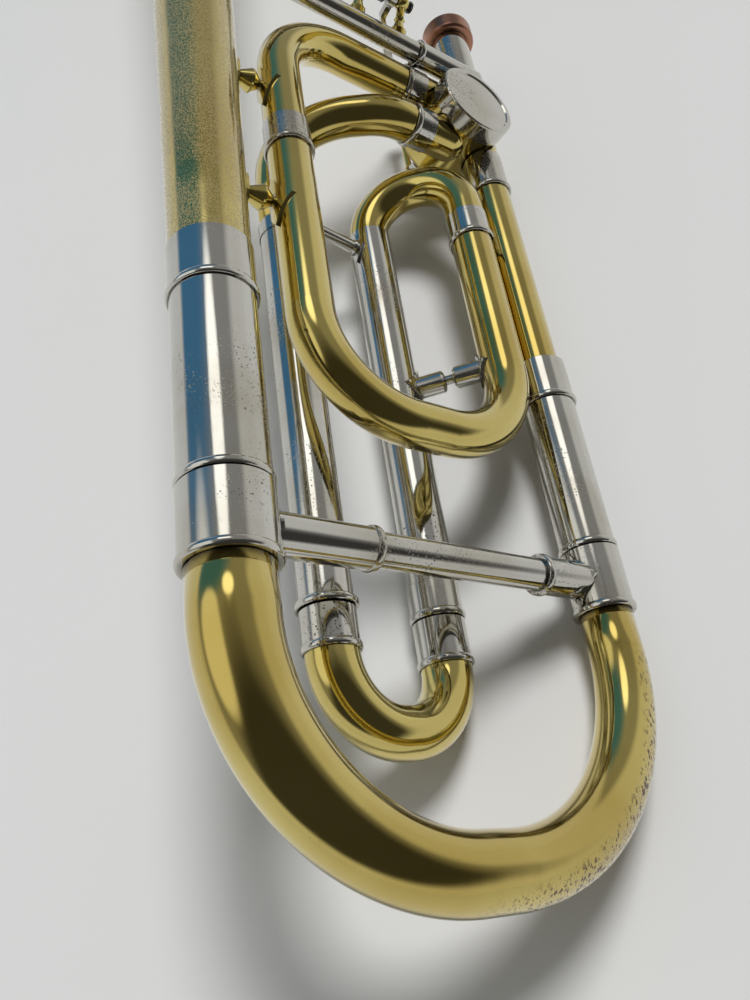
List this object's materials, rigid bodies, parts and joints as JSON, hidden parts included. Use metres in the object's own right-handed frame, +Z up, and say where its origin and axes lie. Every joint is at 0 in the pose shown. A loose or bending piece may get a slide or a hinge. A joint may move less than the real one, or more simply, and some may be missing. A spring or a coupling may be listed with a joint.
{
  "type": "trombone bell section",
  "caption": "Tenor trombone bell section with a thumb-lever rotary valve, closed wrap and two tuning slides, lying on its side without the hand slide.",
  "frame": {"origin": "centre of the bounding box's footprint, on the table", "axes": "+Z up from the table, +Y along the tubes towards the bell's mouth, +X towards the valve side"},
  "size_m": [0.2227, 0.7694, 0.2203],
  "materials": {
    "lacquered_brass": "clear-lacquered, worn, with dark spots",
    "nickel_silver": "polished nickel silver with speckles",
    "copper": "worn copper",
    "bare_brass": "bare turned brass",
    "dark_steel": "dark steel",
    "cork": "cork"
  },
  "bodies": {
    "bell_section": {"bell": "lacquered_brass", "bell_rim_wire": "dark_steel", "bell_ferrule": "nickel_silver", "bell_sleeve": "nickel_silver", "valve_sleeve": "nickel_silver", "valve_ferrule": "nickel_silver", "outlet_tube": "lacquered_brass", "outlet_ferrule": "nickel_silver", "valve_casing": "lacquered_brass", "bearing_plate": "bare_brass", "valve_cap": "nickel_silver", "stop_plate": "bare_brass", "stop_corks": "cork", "neckpipe": "nickel_silver", "receiver_collar": "copper", "upper_port_ferrule": "nickel_silver", "upper_port_tube": "lacquered_brass", "loop_left_ferrule": "nickel_silver", "loop_tube": "lacquered_brass", "loop_right_ferrule": "nickel_silver", "top_bend": "lacquered_brass", "f_right_sleeve": "nickel_silver", "f_left_sleeve": "nickel_silver", "return_tube": "lacquered_brass", "lower_port_ferrule": "nickel_silver", "hand_brace": "nickel_silver", "hand_brace_bell_socket": "nickel_silver", "hand_brace_neck_socket": "nickel_silver", "lever_posts": "lacquered_brass", "pivot_rod": "dark_steel", "lever_spring": "dark_steel", "bell_strut_low": "lacquered_brass", "bell_strut_high": "lacquered_brass", "loop_strut": "nickel_silver", "leg_strut": "nickel_silver"},
    "main_tuning_slide": {"main_crook": "lacquered_brass", "crook_ferrule_bell": "nickel_silver", "crook_ferrule_valve": "nickel_silver", "main_leg_bell": "nickel_silver", "main_leg_valve": "nickel_silver", "slide_brace": "nickel_silver", "slide_brace_bell_socket": "nickel_silver", "slide_brace_valve_socket": "nickel_silver"},
    "f_tuning_slide": {"f_crook": "lacquered_brass", "f_crook_ferrule_right": "nickel_silver", "f_crook_ferrule_left": "nickel_silver", "f_leg_right": "nickel_silver", "f_leg_left": "nickel_silver"},
    "rotor_group": {"rotor": "bare_brass", "stop_arm": "nickel_silver", "stop_arm_screw": "dark_steel"},
    "lever_group": {"thumb_lever": "nickel_silver", "thumb_paddle": "lacquered_brass", "link_pin": "dark_steel"},
    "link_group": {"link_rod": "lacquered_brass"}
  },
  "joints": [
    {"name": "main_slide_pull", "type": "slide", "parent": "bell_section", "child": "main_tuning_slide", "axis": [0, -0.9988, -0.0484], "range_m": [0, 0.04]},
    {"name": "f_slide_pull", "type": "slide", "parent": "bell_section", "child": "f_tuning_slide", "axis": [0, -0.9988, -0.0484], "range_m": [0, 0.055]},
    {"name": "thumb_lever_press", "type": "hinge", "parent": "bell_section", "child": "lever_group", "pos_m": [0.0658, -0.07042, 0.06248], "axis": [0.8264, 0.0273, -0.5625], "range_deg": [0, 25.66], "stiffness_Nm_per_rad": 0.12, "springref_deg": -20.05},
    {"name": "rotor_turn", "type": "hinge", "parent": "bell_section", "child": "rotor_group", "pos_m": [0.0897, -0.10389, 0.02485], "axis": [-0.5631, 0.04, -0.8254], "range_deg": [0, 90.1]},
    {"name": "link_swing", "type": "hinge", "parent": "lever_group", "child": "link_group", "pos_m": [0.07086, -0.07654, 0.01358], "axis": [0.8264, 0.0273, -0.5625], "range_deg": [-25.76, 0]}
  ],
  "couplings": [
    {"joint": "rotor_turn", "follows": "thumb_lever_press", "ratio": 3.508},
    {"joint": "link_swing", "follows": "thumb_lever_press", "ratio": -1}
  ]
}
